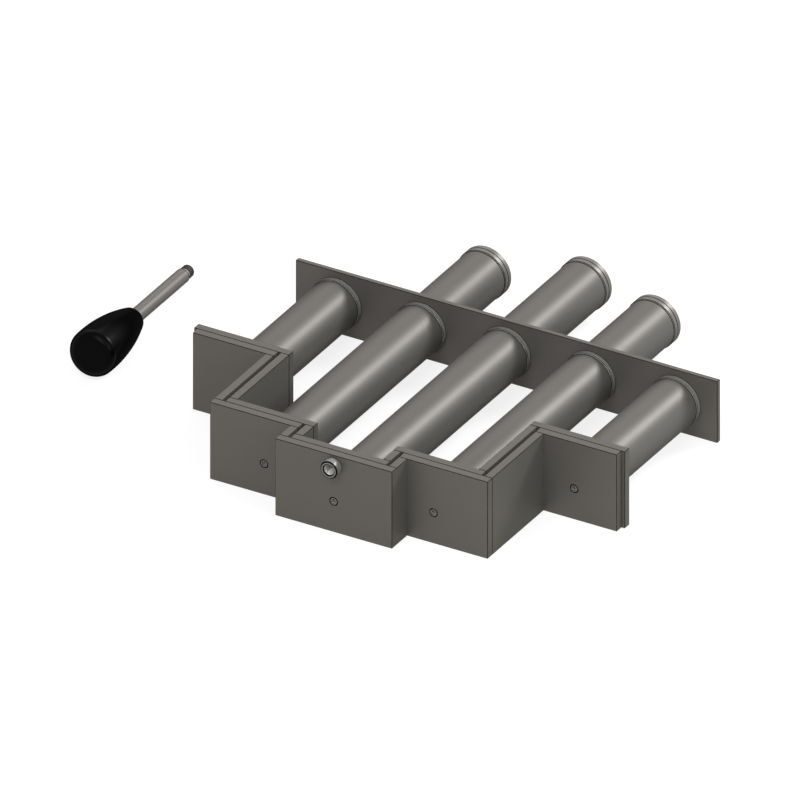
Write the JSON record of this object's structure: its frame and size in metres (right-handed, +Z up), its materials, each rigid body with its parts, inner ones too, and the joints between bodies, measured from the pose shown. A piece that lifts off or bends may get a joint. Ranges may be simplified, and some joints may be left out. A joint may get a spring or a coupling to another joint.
{
  "type": "hopper magnet",
  "caption": "Easy-clean hopper magnet grate: stepped double front, magnet rods that slide out of closed tubes, flat rear plate, and a screw-in handle lying beside it.",
  "frame": {"origin": "middle of the rear plate's bottom edge, half-way through its thickness, on the surface it rests on", "axes": "+X along the rear plate to the right as seen from the stepped front, +Y from the stepped front towards the rear along the tubes, +Z up"},
  "size_m": [0.3269, 0.2648, 0.0454],
  "materials": {
    "plate_steel": "matt bead-blasted stainless plate",
    "tube_steel": "satin ground stainless tube",
    "ring_steel": "satin stainless",
    "rod_steel": "fine ground stainless",
    "magnet": "nickel plated",
    "pole_iron": "plain turned steel",
    "screw_steel": "turned stainless",
    "shaft_steel": "satin ground rod",
    "knob_plastic": "satin black moulded plastic"
  },
  "bodies": {
    "grate": {"rear_plate": "plate_steel", "tube_1": "tube_steel", "tube_2": "tube_steel", "tube_3": "tube_steel", "tube_4": "tube_steel", "tube_5": "tube_steel", "plate_ring_1": "ring_steel", "plate_ring_2": "ring_steel", "plate_ring_3": "ring_steel", "plate_ring_4": "ring_steel", "plate_ring_5": "ring_steel", "end_ring_2": "ring_steel", "end_ring_3": "ring_steel", "end_ring_4": "ring_steel", "end_disc_2": "ring_steel", "end_disc_3": "ring_steel", "end_disc_4": "ring_steel", "grate_plate_1": "plate_steel", "grate_plate_2": "plate_steel", "grate_plate_3": "plate_steel", "grate_plate_4": "plate_steel", "grate_plate_5": "plate_steel", "grate_web_12": "plate_steel", "grate_web_23": "plate_steel", "grate_web_34": "plate_steel", "grate_web_45": "plate_steel", "handle_knob": "knob_plastic", "handle_shaft": "shaft_steel"},
    "magnet_pack": {"front_plate_1": "plate_steel", "front_plate_2": "plate_steel", "front_plate_3": "plate_steel", "front_plate_4": "plate_steel", "front_plate_5": "plate_steel", "front_web_12": "plate_steel", "front_web_23": "plate_steel", "front_web_34": "plate_steel", "front_web_45": "plate_steel", "rod_sheath_1": "rod_steel", "rod_sheath_2": "rod_steel", "rod_sheath_3": "rod_steel", "rod_sheath_4": "rod_steel", "rod_sheath_5": "rod_steel", "rod_plug_1": "rod_steel", "rod_plug_2": "rod_steel", "rod_plug_3": "rod_steel", "rod_plug_4": "rod_steel", "rod_plug_5": "rod_steel", "rod_magnets_1": "magnet", "rod_magnets_2": "magnet", "rod_magnets_3": "magnet", "rod_magnets_4": "magnet", "rod_magnets_5": "magnet", "rod_poles_1": "pole_iron", "rod_poles_2": "pole_iron", "rod_poles_3": "pole_iron", "rod_poles_4": "pole_iron", "rod_poles_5": "pole_iron", "rod_screws": "screw_steel", "handle_socket": "screw_steel"}
  },
  "joints": [
    {"name": "pack_slide", "type": "slide", "parent": "grate", "child": "magnet_pack", "axis": [0, -1, 0], "range_m": [0, 0.25]}
  ]
}
